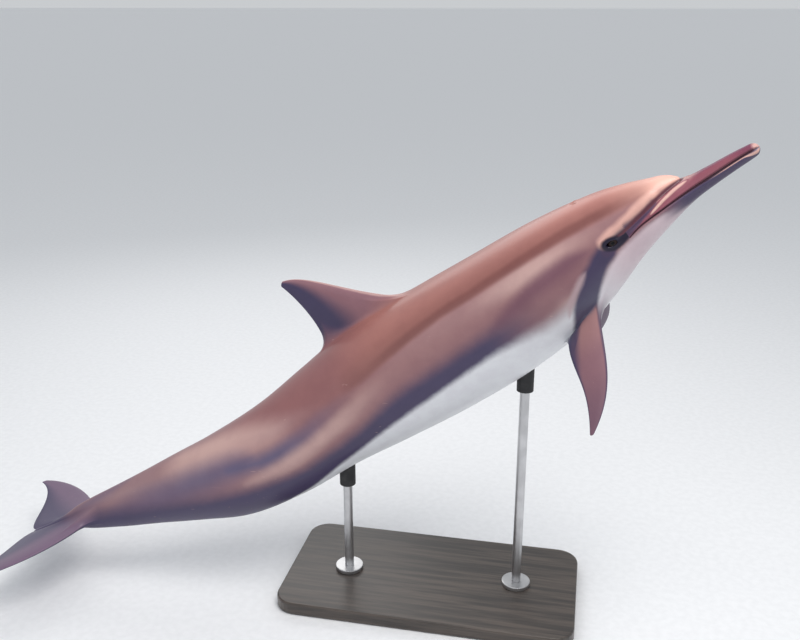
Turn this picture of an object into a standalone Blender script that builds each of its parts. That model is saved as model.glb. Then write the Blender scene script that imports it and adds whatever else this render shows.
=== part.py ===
"""A life-size spinner dolphin on a display stand.

The animal is drawn straight first: x runs backwards along the body as a station s from the tip of
the beak, y to the left and z up. Each solid is cut to its neighbours there, and then the whole is
bent along the spine, pitched up and set on its stand. Metres and degrees, +Z up, heading along +X.
"""

import math

import bmesh
import bpy
import numpy as np
from mathutils import Matrix, Vector

# ---------------------------------------------------------------- driving sizes: body
LENGTH = 1.922          # tip of the beak to the notch between the flukes
GAP = 0.0003            # clearance between neighbouring solids
CREASE_GAP = 0.0018     # the crease's faces lie almost level, so their clearance needs a longer step

# Lines of the body: station, height above the axis, depth below it, half width.
LINES = np.array([
    (0.00, 0.0115, 0.0118, 0.0105), (0.02, 0.0136, 0.0139, 0.0122), (0.05, 0.0158, 0.0160, 0.0140),
    (0.10, 0.0178, 0.0204, 0.0172), (0.14, 0.0390, 0.0252, 0.0244), (0.165, 0.0452, 0.0305, 0.0349),
    (0.20, 0.0548, 0.0404, 0.0525), (0.25, 0.0725, 0.0560, 0.0677), (0.30, 0.0872, 0.0738, 0.0776),
    (0.36, 0.0988, 0.1000, 0.0917), (0.45, 0.1115, 0.1325, 0.1140), (0.60, 0.1245, 0.1550, 0.1290),
    (0.80, 0.1423, 0.1530, 0.1340), (0.95, 0.1500, 0.1390, 0.1330), (1.10, 0.1325, 0.1275, 0.1180),
    (1.25, 0.1085, 0.1315, 0.1040), (1.40, 0.0965, 0.1180, 0.0850), (1.50, 0.0905, 0.0870, 0.0625),
    (1.60, 0.0760, 0.0620, 0.0412), (1.70, 0.0550, 0.0465, 0.0250), (1.78, 0.0345, 0.0330, 0.0165),
    (1.83, 0.0175, 0.0170, 0.0135), (1.87, 0.0100, 0.0098, 0.0115), (1.90, 0.0055, 0.0053, 0.0090)])
# The upper jaw's own height, which runs on as a lip under the melon.
JAW_LINE = np.array([(0.00, 0.0115), (0.05, 0.0158), (0.10, 0.0178), (0.14, 0.0212), (0.16, 0.0265),
                     (0.20, 0.0335), (0.24, 0.0370), (0.28, 0.0450), (0.34, 0.0900)])
# The mouth line, as an angle from the top of the section, and on down the flank behind it.
MOUTH = np.array([(0.00, 80), (0.03, 80), (0.06, 84), (0.10, 89), (0.15, 90), (0.20, 90), (0.245, 92),
                  (0.28, 98), (0.36, 99), (0.60, 92), (1.90, 90)], dtype=float)
BEAK_TIP = 0.012        # length over which the beak's tip rounds off
MELON = 0.148           # station where the melon starts on the midline
MELON_RISE = 0.045      # length over which it rises from the beak
MELON_BULGE = 2.5       # how steeply it rises there: 1 is a straight slope
SLANT = 0.135           # how much further back its crease lies at the side of the head
SLANT_FROM = 0.05       # station on the beak where the slant begins
SLANT_SIDE = 85.0       # angle from the top of the head where the slant is complete
SLANT_BEND = 2.2        # how much of the slant is left to the side: 1 shares it evenly
BODY_POWER = 2.12       # section exponent of head and trunk: 2 is an ellipse
KEEL_POWER = 1.82       # section exponent of the tail stock, keeled above and below
KEEL_START, KEEL_RUN = 1.35, 0.30
HEAD_END, CHEST_END, TRUNK_END, LOIN_END, TAIL_END = 0.385, 0.70, 1.08, 1.45, 1.895

# Eyes: station, half sizes along, across and upright, and how far they stand out of the head.
EYE_STATION, EYE_SIZE, EYE_PROUD = 0.312, (0.0135, 0.0110, 0.0098), 0.0016
BLOWHOLE_STATION, BLOWHOLE_RADIUS, BLOWHOLE_SLIT, BLOWHOLE_DEPTH = 0.350, 0.016, 0.003, 0.008
BLOWHOLE_HALF_ARC = 58.0

# ---------------------------------------------------------------- driving sizes: fins
# The dorsal fin's edges as (height above the axis, station).
DORSAL_LEAD = ((0.125, 0.760), (0.196, 0.866), (0.307, 0.927), (0.324, 0.999))
DORSAL_TRAIL = ((0.125, 1.016), (0.190, 0.985), (0.270, 0.998), (0.314, 1.012))
DORSAL_THICKNESS = (0.0150, 0.0016)         # half thickness at root and tip
# A fluke's edges as (distance from the midline, station).
FLUKE_LEAD = ((0.0, 1.758), (0.105, 1.792), (0.216, 1.900), (0.237, 1.995))
FLUKE_TRAIL = ((0.0, LENGTH), (0.046, 1.974), (0.148, 1.920), (0.232, 2.010))
FLUKE_THICKNESS = (0.0115, 0.0010)
FLUKE_RISE = -0.008     # their roots above the body's axis
FLUKE_CURL = 0.026      # how far their tips bend up
# A flipper's edges as (distance out from its root, distance back).
FLIPPER_LEAD = ((-0.030, -0.048), (0.060, 0.022), (0.155, 0.004), (0.217, 0.132))
FLIPPER_TRAIL = ((-0.030, 0.045), (0.080, 0.128), (0.108, 0.070), (0.214, 0.143))
FLIPPER_THICKNESS = (0.0095, 0.0012)
FLIPPER_ROOT = (0.440, 0.0640, -0.0960)     # station, out from the midline, height
FLIPPER_OUT = (-0.10, 0.62, -0.78)
FLIPPER_BACK = (1.0, 0.0, -0.15)
FLIPPER_SWEEP = (0.0, 5.0)                  # further swept back: right, left
FLIPPER_SPREAD = (0.0, 12.0)                # further out to the side: right, left
LEAST_HALF = 0.0003     # half thickness of a fin's thin edge

# ---------------------------------------------------------------- driving sizes: stance
# Spine: how far the heading turns from the reference station, to the side and down.
REFERENCE = 0.80
HEAD_TURN, HEAD_DIP = 14.6, 0.5
TAIL_TURN, LOIN_DROP, TAIL_DROP = 12.1, 9.3, 16.2
FLUKE_TURN, FLUKE_LIFT, TAIL_ROLL = 5.3, 3.6, 4.75
PITCH = 38.6
BODY_AT = (0.2366, 0.0879, 0.62)            # the reference station's place above the floor

# Stand: base plate, rods with a flange at each foot, collars shaped to the belly.
BASE_SIZE, BASE_CORNER, BASE_EDGE = (0.70, 0.36, 0.030), 0.05, 0.004
ROD_STATIONS, ROD_RADIUS = (0.66, 1.14), 0.011
FLANGE_RADIUS, FLANGE_HEIGHT, FLANGE_EDGE = 0.034, 0.010, 0.0015
COLLAR_RADIUS, COLLAR_LENGTH, COLLAR_REACH = 0.019, 0.045, 0.06

SIDES = 16              # quads round half of a section
MOUTH_SIDE = 9          # of them, those above the mouth line
SMOOTH_ANGLE = 35.0     # edges sharper than this stay sharp


# ---------------------------------------------------------------- shape of the body
def curve(at, table, column=1):
    """Smooth curve through the table's rows: cubic pieces with three-point slopes."""
    x, y = table[:, 0], table[:, column]
    step = np.diff(x)
    rise = np.diff(y) / step
    middle = (step[1:] * rise[:-1] + step[:-1] * rise[1:]) / (step[1:] + step[:-1])
    slope = np.concatenate([rise[:1], middle, rise[-1:]])
    k = np.clip(np.searchsorted(x, at) - 1, 0, len(step) - 1)
    t = (np.clip(at, x[0], x[-1]) - x[k]) / step[k]
    return (y[k] * (1 + 2 * t) * (1 - t) ** 2 + y[k + 1] * t * t * (3 - 2 * t)
            + step[k] * t * (1 - t) * (slope[k] * (1 - t) - slope[k + 1] * t))


def ease(t):
    """0 to 1 with level ends."""
    t = np.clip(t, 0, 1)
    return t * t * (3 - 2 * t)


def slant_at(u):
    """Share of the melon's slant at row u: rising along the beak, all at the crease, fading behind."""
    rise = ease((u - SLANT_FROM) / (MELON - SLANT_FROM))
    fall = np.clip((HEAD_END - u) / (HEAD_END - MELON), 0, 1)
    return np.where(u < MELON, rise, fall)


def body_point(u, v, grow=0.0):
    """Right side of the body at row u and column v (0 top, 1 bottom), in the straight frame."""
    side = u + SLANT * slant_at(u)
    mouth = np.radians(curve(side, MOUTH))
    share = MOUTH_SIDE / SIDES
    angle = np.where(v < share, mouth * v / share, mouth + (math.pi - mouth) * (v - share) / (1 - share))
    lean = np.clip(np.degrees(angle) / SLANT_SIDE, 0, 1) ** SLANT_BEND
    s = u + SLANT * slant_at(u) * lean
    tip = np.sqrt(np.clip(1 - (1 - np.clip(s / BEAK_TIP, 0, 1)) ** 2, 0, 1))
    half_width = curve(s, LINES, 3) * tip + grow
    below = curve(s, LINES, 2) * tip + grow
    jaw = np.minimum(curve(s, JAW_LINE), curve(s, LINES, 1))
    melon = 1 - (1 - np.clip((u - MELON) / MELON_RISE, 0, 1)) ** MELON_BULGE
    above = (jaw + (curve(s, LINES, 1) - jaw) * melon) * tip + grow
    power = 2 / (BODY_POWER + (KEEL_POWER - BODY_POWER) * ease((s - KEEL_START) / KEEL_RUN))
    across = half_width * np.abs(np.sin(angle)) ** power
    height = np.where(angle < math.pi / 2, above, -below) * np.abs(np.cos(angle)) ** power
    return np.stack(np.broadcast_arrays(s, -across, height), axis=-1)


def line_at(station, column):
    """One of the body's lines at a single station."""
    return float(curve(np.array([station]), LINES, column)[0])


# ---------------------------------------------------------------- spine and stance
def spine(s):
    """Place and axes (forward, left, up) of the bent, pitched spine at stations s."""
    run = np.linspace(-0.02, LENGTH + 0.12, 1000)
    ahead = np.clip((REFERENCE - run) / 0.6, 0, 1) ** 1.5
    loin, tail, fluke = ease((run - REFERENCE) / 0.6), ease((run - 1.3) / 0.5), ease((run - 1.66) / 0.14)
    rise = np.radians(-HEAD_DIP * ahead - LOIN_DROP * loin - TAIL_DROP * tail + FLUKE_LIFT * fluke)
    turn = np.radians(-HEAD_TURN * ahead + TAIL_TURN * loin - FLUKE_TURN * fluke)
    roll = np.radians(TAIL_ROLL) * tail
    forward = np.stack([np.cos(rise) * np.cos(turn), np.cos(rise) * np.sin(turn), np.sin(rise)], -1)
    left = np.stack([-np.sin(turn), np.cos(turn), 0 * turn], -1)
    up = np.cross(forward, left)
    left, up = (left * np.cos(roll)[:, None] + up * np.sin(roll)[:, None],
                up * np.cos(roll)[:, None] - left * np.sin(roll)[:, None])
    step = (forward[1:] + forward[:-1]) / 2 * np.diff(run)[:, None]
    place = -np.concatenate([np.zeros((1, 3)), np.cumsum(step, axis=0)])
    place -= [np.interp(REFERENCE, run, place[:, k]) for k in range(3)]
    nose_up = np.array(Matrix.Rotation(-math.radians(PITCH), 3, "Y"))
    axes = [rows @ nose_up.T for rows in (place, forward, left, up)]
    return [np.stack([np.interp(s, run, rows[:, k]) for k in range(3)], -1) for rows in axes]


def bend(points):
    """Straight frame to the dolphin's stance above the floor."""
    place, _, left, up = spine(points[:, 0])
    return place + left * points[:, 1:2] + up * points[:, 2:3] + np.array(BODY_AT)


# ---------------------------------------------------------------- objects
def material(name, colour, roughness, metallic=0.0):
    made = bpy.data.materials.new(name)
    made.use_nodes = True
    shader = made.node_tree.nodes["Principled BSDF"]
    shader.inputs["Base Color"].default_value = (*colour, 1)
    shader.inputs["Roughness"].default_value = roughness
    shader.inputs["Metallic"].default_value = metallic
    return made


def object_from(name, bm, finish=None, merge=1e-6):
    """A new object of the mesh, with its doubles merged and its faces pointing out."""
    bmesh.ops.remove_doubles(bm, verts=bm.verts, dist=merge)
    bmesh.ops.dissolve_degenerate(bm, edges=bm.edges, dist=merge)
    bmesh.ops.recalc_face_normals(bm, faces=bm.faces)
    mesh = bpy.data.meshes.new(name)
    bm.to_mesh(mesh)
    bm.free()
    made = bpy.data.objects.new(name, mesh)
    bpy.context.collection.objects.link(made)
    if finish:
        mesh.materials.append(finish)
    return made


def cutter(name, bm):
    """A hidden solid that another is cut with."""
    made = object_from(name, bm)
    made.hide_render = True
    made.display_type = "WIRE"
    return made


def cut(target, tool):
    """Cut the tool's shape out of an object and keep the result as the object's own mesh."""
    modifier = target.modifiers.new("cut", "BOOLEAN")
    modifier.operation, modifier.solver, modifier.object = "DIFFERENCE", "EXACT", tool
    bpy.context.view_layer.update()
    mesh = bpy.data.meshes.new_from_object(target.evaluated_get(bpy.context.evaluated_depsgraph_get()))
    target.modifiers.clear()
    target.data = mesh


def discard(tool):
    bpy.data.objects.remove(tool, do_unlink=True)


def shade(made):
    """Smooth shading with the hard edges kept."""
    made.data.shade_smooth()
    made.data.set_sharp_from_angle(angle=math.radians(SMOOTH_ANGLE))


def pose(made):
    """Bend a finished straight solid into the dolphin's stance."""
    bm = bmesh.new()
    bm.from_mesh(made.data)
    bmesh.ops.triangulate(bm, faces=bm.faces)
    bm.to_mesh(made.data)
    bm.free()
    points = np.empty(3 * len(made.data.vertices))
    made.data.vertices.foreach_get("co", points)
    made.data.vertices.foreach_set("co", bend(points.reshape(-1, 3)).ravel())
    # The straight frame's x runs backwards, so bending mirrors the mesh and turns its faces over.
    made.data.flip_normals()
    shade(made)
    made.data.update()


def extruded(rim, low, high):
    """Upright solid with the outline rim, a list of (x, y), from height low to high."""
    bm = bmesh.new()
    face = bm.faces.new([bm.verts.new((x, y, low)) for x, y in rim])
    raised = bmesh.ops.extrude_face_region(bm, geom=[face])["geom"]
    bmesh.ops.translate(bm, verts=[v for v in raised if isinstance(v, bmesh.types.BMVert)],
                        vec=(0, 0, high - low))
    return bm


def ring_solid(rows):
    """Closed solid through rings: rows[i] is (right half, top to bottom); the left half mirrors it."""
    bm = bmesh.new()
    rings = []
    for row in rows:
        right = [bm.verts.new(point) for point in row]
        left = [bm.verts.new((x, -y, z)) for x, y, z in row]
        rings.append((right, left))
    for (right, left), (right_next, left_next) in zip(rings, rings[1:]):
        for a in range(len(right) - 1):
            bm.faces.new((right[a], right[a + 1], right_next[a + 1], right_next[a]))
            bm.faces.new((left[a + 1], left[a], left_next[a], left_next[a + 1]))
        for a in (0, -1):
            bm.faces.new((right[a], right_next[a], left_next[a], left[a]))
    for right, left in (rings[0], rings[-1]):
        for a in range(len(right) - 1):
            bm.faces.new((right[a], right[a + 1], left[a + 1], left[a]))
    return bm


def body_rows(u, first=0, last=SIDES, grow=0.0, lift=0.0):
    """Rows of the body's right side at the values u, for columns first to last."""
    v = np.arange(first, last + 1) / SIDES
    points = body_point(np.asarray(u)[:, None], v[None, :], grow)
    points[..., 2] += lift
    points[..., 1] = np.minimum(points[..., 1], 0)
    return points


# ---------------------------------------------------------------- fins
def airfoil(share, half):
    """Half thickness at a share of the chord: round nose, fullest at 0.3, thin tail."""
    shape = (0.2969 * np.sqrt(share) - 0.126 * share - 0.3516 * share ** 2
             + 0.2843 * share ** 3 - 0.1036 * share ** 4)
    return np.maximum(10 * half * shape, LEAST_HALF)


def bezier(points, t):
    """Cubic through four control points, at the values t."""
    a, b, c, d = (np.array(p, dtype=float) for p in points)
    t = np.asarray(t)[:, None]
    return (1 - t) ** 3 * a + 3 * t * (1 - t) ** 2 * b + 3 * t * t * (1 - t) * c + t ** 3 * d


def blade(lead, trail, thickness, origin, out, back, curl=0.0, spans=10, ribs=8):
    """A fin: airfoil sections from its leading to its trailing edge, both drawn in (out, back)."""
    t = 1 - (1 - np.linspace(0, 1, spans)) ** 1.5
    front, rear = bezier(lead, t), bezier(trail, t)
    share = (1 - np.cos(np.linspace(0, math.pi, ribs))) / 2
    out, back = Vector(out).normalized(), Vector(back)
    back = (back - out * back.dot(out)).normalized()
    across = out.cross(back)
    bm = bmesh.new()
    loops = []
    for i in range(spans):
        flat = front[i] + (rear[i] - front[i]) * share[:, None]
        proud = airfoil(share, thickness[0] + (thickness[1] - thickness[0]) * t[i])
        section = list(zip(flat, proud)) + list(zip(flat[::-1], -proud[::-1]))
        bow = Vector((0, 0, curl * (float(flat[:, 0].mean()) / lead[-1][0]) ** 2))
        loops.append([bm.verts.new(Vector(origin) + out * p[0] + back * p[1] + across * h + bow)
                      for p, h in section])
    for low, high in zip(loops, loops[1:]):
        for a in range(len(low)):
            b = (a + 1) % len(low)
            bm.faces.new((low[a], low[b], high[b], high[a]))
    for loop in (loops[0], loops[-1]):
        count = len(loop)
        for a in range(count // 2 - 1):
            bm.faces.new((loop[a], loop[a + 1], loop[count - 2 - a], loop[count - 1 - a]))
    return bm


def flipper(side, sweep, spread):
    """One flipper, right (side -1) or left (side 1), swept back and spread out by some degrees."""
    out = Vector((FLIPPER_OUT[0], side * FLIPPER_OUT[1], FLIPPER_OUT[2]))
    back = Vector((FLIPPER_BACK[0], side * FLIPPER_BACK[1], FLIPPER_BACK[2]))
    turn = Matrix.Rotation(math.radians(side * spread), 3, "X")
    turn = turn @ Matrix.Rotation(math.radians(sweep), 3, out.cross(back))
    root = (FLIPPER_ROOT[0], side * FLIPPER_ROOT[1], FLIPPER_ROOT[2])
    return blade(FLIPPER_LEAD, FLIPPER_TRAIL, FLIPPER_THICKNESS, root, turn @ out, turn @ back)


def fluke(side):
    """One fluke, whose tip bends up a little."""
    return blade(FLUKE_LEAD, FLUKE_TRAIL, FLUKE_THICKNESS, (0, side * GAP / 2, FLUKE_RISE),
                 (0, side, 0), (1, 0, 0), FLUKE_CURL)


for old in list(bpy.data.objects):
    bpy.data.objects.remove(old, do_unlink=True)

BACK = material("skin_back", (0.34, 0.20, 0.17), 0.35)
JAW = material("skin_jaw", (0.56, 0.44, 0.40), 0.35)
FIN = material("skin_fin", (0.27, 0.17, 0.17), 0.35)
EYE = material("eye", (0.03, 0.02, 0.02), 0.08)
PLATE = material("stand_plate", (0.05, 0.05, 0.055), 0.45)
STEEL = material("stand_steel", (0.62, 0.62, 0.62), 0.30, 1.0)

# ---------------------------------------------------------------- body, parted across and at the mouth
beak_tip = BEAK_TIP * (1 - np.cos(np.linspace(0, math.pi / 2, 5)))
beak = np.linspace(0.020, 0.129, 7)
melon = np.linspace(MELON + 0.003, MELON + MELON_RISE, 6)
face = np.linspace(0.215, HEAD_END, 6)
trunk_and_tail = np.linspace(0.43, 1.70, 26)
tail_end = np.linspace(1.74, TAIL_END, 6)
body_u = np.concatenate([beak_tip, beak, [MELON], melon, face, trunk_and_tail, tail_end])
skin_cutter = cutter("skin_cutter", ring_solid(body_rows(body_u, grow=GAP)))

jaw_u = np.concatenate([beak_tip, beak, [MELON - CREASE_GAP]])
upper_jaw = object_from("upper_jaw", ring_solid(body_rows(jaw_u, 0, MOUTH_SIDE, lift=GAP / 2)), JAW)
lower_jaw = object_from("lower_jaw", ring_solid(body_rows(jaw_u, MOUTH_SIDE, SIDES, lift=-GAP / 2)), JAW)

lengths = {}
ends = (MELON, HEAD_END, CHEST_END, TRUNK_END, LOIN_END, TAIL_END)
names = ("head", "chest", "trunk", "tail_stock_front", "tail_stock_rear")
for name, low, high in zip(names, ends, ends[1:]):
    inside = body_u[(body_u > low + 0.002) & (body_u < high - 0.002)]
    rows = np.concatenate([[low + GAP / 2], inside, [high - GAP / 2]])
    lengths[name] = object_from(name, ring_solid(body_rows(rows)), BACK)
head = lengths["head"]


# ---------------------------------------------------------------- eyes and blowhole
def eyeball(side, grow=0.0):
    """An ellipsoid in the side of the head, or with some growth the socket for it."""
    bm = bmesh.new()
    bmesh.ops.create_uvsphere(bm, u_segments=16, v_segments=10, radius=1.0)
    bm.transform(Matrix.Diagonal([size + grow for size in EYE_SIZE] + [1.0]))
    out = line_at(EYE_STATION, 3) - EYE_SIZE[1] + EYE_PROUD
    bmesh.ops.translate(bm, verts=bm.verts, vec=(EYE_STATION, side * out, 0))
    return bm


def crescent():
    """The blowhole's slit: upright, along an arc that is open towards the front."""
    top = line_at(BLOWHOLE_STATION, 1)
    arc = np.radians(np.linspace(-BLOWHOLE_HALF_ARC, BLOWHOLE_HALF_ARC, 9))
    rim = [(BLOWHOLE_RADIUS + BLOWHOLE_SLIT / 2, a) for a in arc]
    rim += [(BLOWHOLE_RADIUS - BLOWHOLE_SLIT / 2, a) for a in arc[::-1]]
    ahead = BLOWHOLE_STATION - BLOWHOLE_RADIUS * 0.7
    outline = [(ahead + r * math.cos(a), r * math.sin(a)) for r, a in rim]
    return extruded(outline, top - BLOWHOLE_DEPTH, top + BLOWHOLE_RADIUS)


eyes = []
for name, side in (("eye_right", -1), ("eye_left", 1)):
    socket = cutter("socket", eyeball(side, GAP))
    cut(head, socket)
    discard(socket)
    eyes.append(object_from(name, eyeball(side), EYE))
blowhole = cutter("blowhole_cutter", crescent())
cut(head, blowhole)
discard(blowhole)

# ---------------------------------------------------------------- fins, cut to the body's surface
fins = [object_from("dorsal_fin", blade(DORSAL_LEAD, DORSAL_TRAIL, DORSAL_THICKNESS,
                                        (0, 0, 0), (0, 0, 1), (1, 0, 0)), FIN)]
for name, side, sweep, spread in zip(("right", "left"), (-1, 1), FLIPPER_SWEEP, FLIPPER_SPREAD):
    fins.append(object_from(f"fluke_{name}", fluke(side), FIN))
    fins.append(object_from(f"flipper_{name}", flipper(side, sweep, spread), FIN))
for fin in fins:
    cut(fin, skin_cutter)

for made in [upper_jaw, lower_jaw, *lengths.values(), *eyes, *fins, skin_cutter]:
    pose(made)


# ---------------------------------------------------------------- stand
def belly_at(station):
    """The belly's lowest line above the floor, at a station."""
    place, _, _, up = spine(np.array([station]))
    return [float(k) for k in place[0] - up[0] * line_at(station, 2) + np.array(BODY_AT)]


def bar(name, x, y, low, high, radius, finish, sides=32):
    """An upright round bar or disc."""
    bm = bmesh.new()
    bmesh.ops.create_cone(bm, cap_ends=True, segments=sides, radius1=radius, radius2=radius,
                          depth=high - low, matrix=Matrix.Translation((x, y, (low + high) / 2)))
    made = object_from(name, bm, finish)
    shade(made)
    return made


def soften(made, width):
    """Round the sharp edges off by a small width."""
    edge = made.modifiers.new("edge", "BEVEL")
    edge.width, edge.segments, edge.limit_method = width, 2, "ANGLE"


def base_plate(centre_x, centre_y):
    """Flat plate with rounded corners."""
    length, width, height = BASE_SIZE
    rim = []
    for corner, (along, over) in enumerate(((1, 1), (-1, 1), (-1, -1), (1, -1))):
        for a in np.radians(np.linspace(90 * corner, 90 * corner + 90, 8)):
            rim.append((centre_x + along * (length / 2 - BASE_CORNER) + BASE_CORNER * math.cos(a),
                        centre_y + over * (width / 2 - BASE_CORNER) + BASE_CORNER * math.sin(a)))
    return object_from("stand_base", extruded(rim, 0, height), PLATE)


feet = [belly_at(station) for station in ROD_STATIONS]
soften(base_plate((feet[0][0] + feet[1][0]) / 2, (feet[0][1] + feet[1][1]) / 2), BASE_EDGE)
for name, (x, y, top) in zip(("front", "rear"), feet):
    flange_top = BASE_SIZE[2] + GAP + FLANGE_HEIGHT
    collar_low = top - COLLAR_LENGTH
    flange = bar(f"stand_flange_{name}", x, y, BASE_SIZE[2] + GAP, flange_top, FLANGE_RADIUS, STEEL)
    soften(flange, FLANGE_EDGE)
    bar(f"stand_rod_{name}", x, y, flange_top + GAP, collar_low - GAP, ROD_RADIUS, STEEL, sides=24)
    collar = bar(f"stand_collar_{name}", x, y, collar_low, top + COLLAR_REACH, COLLAR_RADIUS, PLATE)
    cut(collar, skin_cutter)
discard(skin_cutter)
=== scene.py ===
"""Looks of a life-size spinner dolphin model on its display stand.

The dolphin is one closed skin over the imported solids, with separate eyes; the stand keeps its own
solids and gets better finishes. The body is drawn straight first: x runs backwards as a station s
from the tip of the beak, y to the left and z up. It is then bent into the stance. Metres.
"""

import math

import bpy
import numpy as np
from mathutils import Matrix, Vector


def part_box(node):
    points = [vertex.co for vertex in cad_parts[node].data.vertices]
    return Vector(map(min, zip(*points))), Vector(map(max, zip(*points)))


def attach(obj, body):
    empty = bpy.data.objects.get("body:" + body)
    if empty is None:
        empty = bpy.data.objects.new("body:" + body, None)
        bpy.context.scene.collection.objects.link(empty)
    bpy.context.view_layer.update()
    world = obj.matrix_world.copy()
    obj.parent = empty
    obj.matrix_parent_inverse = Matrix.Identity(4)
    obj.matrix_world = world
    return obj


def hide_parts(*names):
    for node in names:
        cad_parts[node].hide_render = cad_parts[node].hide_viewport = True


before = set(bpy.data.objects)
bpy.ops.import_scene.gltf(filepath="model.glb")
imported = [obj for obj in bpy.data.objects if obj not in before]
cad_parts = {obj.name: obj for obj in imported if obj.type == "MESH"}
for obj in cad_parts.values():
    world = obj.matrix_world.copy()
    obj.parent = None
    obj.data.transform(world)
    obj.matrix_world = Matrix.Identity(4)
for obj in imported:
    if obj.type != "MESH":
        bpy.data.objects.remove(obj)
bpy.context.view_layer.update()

# ================================================================ skin: the body
# The model's body is a shell of painted fibreglass, cast in one piece with the fins, so no seam shows.
# Its lines are those of a grown spinner dolphin: long thin beak, low melon, deep chest and a keeled
# tail stock. The mouth, the crease under the melon, the eyelids and the blowhole are cut into it.
LENGTH = 1.922
# Station, height above the axis, depth below it, half width.
LINES = np.array([
    (0.00, 0.0115, 0.0118, 0.0105), (0.02, 0.0136, 0.0139, 0.0122), (0.05, 0.0158, 0.0160, 0.0140),
    (0.10, 0.0178, 0.0204, 0.0172), (0.14, 0.0390, 0.0252, 0.0244), (0.165, 0.0452, 0.0305, 0.0349),
    (0.20, 0.0548, 0.0404, 0.0525), (0.25, 0.0725, 0.0560, 0.0677), (0.30, 0.0872, 0.0738, 0.0776),
    (0.36, 0.0988, 0.1000, 0.0917), (0.45, 0.1115, 0.1325, 0.1140), (0.60, 0.1245, 0.1550, 0.1290),
    (0.80, 0.1423, 0.1530, 0.1340), (0.95, 0.1500, 0.1390, 0.1330), (1.10, 0.1325, 0.1275, 0.1180),
    (1.25, 0.1085, 0.1315, 0.1040), (1.40, 0.0965, 0.1180, 0.0850), (1.50, 0.0905, 0.0870, 0.0625),
    (1.60, 0.0760, 0.0620, 0.0412), (1.70, 0.0550, 0.0465, 0.0250), (1.78, 0.0345, 0.0330, 0.0165),
    (1.83, 0.0175, 0.0170, 0.0135), (1.87, 0.0100, 0.0098, 0.0115), (1.90, 0.0055, 0.0053, 0.0090),
    (LENGTH, 0.0012, 0.0012, 0.0080)])
# The upper jaw's own height, which runs on as a lip under the melon.
JAW_LINE = np.array([(0.00, 0.0115), (0.02, 0.0136), (0.05, 0.0158), (0.10, 0.0178), (0.14, 0.0212),
                     (0.16, 0.0265), (0.20, 0.0335), (0.24, 0.0370), (0.28, 0.0450), (0.34, 0.0900)])
# The mouth line, as an angle from the top of the section, and on down the flank behind it.
MOUTH_LINE = np.array([(0.00, 80), (0.03, 80), (0.06, 84), (0.10, 89), (0.15, 90), (0.20, 90), (0.245, 92),
                       (0.28, 98), (0.36, 99), (0.60, 92), (1.90, 90)], dtype=float)
MOUTH_SHARE = 9 / 16    # the mouth line's place among the columns, from the top (0) to the bottom (1)
BEAK_TIP = 0.012        # length over which the beak's tip rounds off
MELON, MELON_RISE, MELON_BULGE = 0.148, 0.045, 2.5      # where it starts, how long and how steep it rises
SLANT, SLANT_FROM, SLANT_SIDE, SLANT_BEND = 0.135, 0.05, 85.0, 2.2      # how its crease runs back
HEAD_END = 0.385
BODY_POWER, KEEL_POWER, KEEL_START, KEEL_RUN = 2.12, 1.82, 1.35, 0.30   # section exponents
FLUKE_RISE, DROOP_FROM, DROOP_RUN = -0.008, 1.78, 0.12   # the stock's end sinks to the flukes' plane
# Spacing of the rows (by station) and of the columns (by share), closest where the detail is.
ROW_STEPS = ((BEAK_TIP, 0.0020), (0.125, 0.0020), (0.140, 0.0010), (0.160, 0.0010), (0.185, 0.0016),
             (0.250, 0.0017), (0.330, 0.0028), (0.385, 0.0034), (0.470, 0.0070), (1.70, 0.0078),
             (LENGTH, 0.0055))
COLUMN_STEPS = ((0.0, 0.0085), (0.09, 0.0095), (0.20, 0.018), (0.40, 0.014), (0.48, 0.0058),
                (0.55, 0.0040), (MOUTH_SHARE, 0.0026), (0.575, 0.0042), (0.62, 0.011), (0.70, 0.018),
                (1.0, 0.020))
TIP_ROWS = 12           # rows that round off the beak's tip
SPREAD_RUN = 0.20       # length behind the head over which the columns spread out evenly


def curve(at, table, column=1):
    """Smooth curve through the table's rows: cubic pieces with three-point slopes."""
    x, y = table[:, 0], table[:, column]
    step = np.diff(x)
    rise = np.diff(y) / step
    middle = (step[1:] * rise[:-1] + step[:-1] * rise[1:]) / (step[1:] + step[:-1])
    slope = np.concatenate([rise[:1], middle, rise[-1:]])
    k = np.clip(np.searchsorted(x, at) - 1, 0, len(step) - 1)
    t = (np.clip(at, x[0], x[-1]) - x[k]) / step[k]
    return (y[k] * (1 + 2 * t) * (1 - t) ** 2 + y[k + 1] * t * t * (3 - 2 * t)
            + step[k] * t * (1 - t) * (slope[k] * (1 - t) - slope[k + 1] * t))


def ease(t):
    """0 to 1 with level ends."""
    t = np.clip(t, 0, 1)
    return t * t * (3 - 2 * t)


def bump(distance, width):
    """1 at no distance, falling off like a bell."""
    return np.exp(-(distance / width) ** 2)


def graded(steps, through=()):
    """Values from the table's first to its last, spaced as it says and going through the fixed ones."""
    at, step = np.array(steps).T
    values = []
    stops = [at[0], *through, at[-1]]
    for low, high in zip(stops, stops[1:]):
        fine = np.linspace(low, high, 500)
        count = np.concatenate([[0], np.cumsum(np.diff(fine) / np.interp(fine[1:], at, step))])
        parts = max(1, round(count[-1]))
        values.append(np.interp(np.linspace(0, count[-1], parts + 1)[:-1], count, fine))
    return np.append(np.concatenate(values), at[-1])


def slant_at(u):
    """Share of the melon's slant at row u: rising along the beak, all at the crease, fading behind."""
    rise = ease((u - SLANT_FROM) / (MELON - SLANT_FROM))
    fall = np.clip((HEAD_END - u) / (HEAD_END - MELON), 0, 1)
    return np.where(u < MELON, rise, fall)


def section_power(s):
    """Exponent of the section's rounded outline at station s: over 2 is full, under 2 is keeled."""
    return BODY_POWER + (KEEL_POWER - BODY_POWER) * ease((s - KEEL_START) / KEEL_RUN)


def droop(s):
    """How far the section's middle lies above the axis."""
    return FLUKE_RISE * ease((s - DROOP_FROM) / DROOP_RUN)


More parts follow.
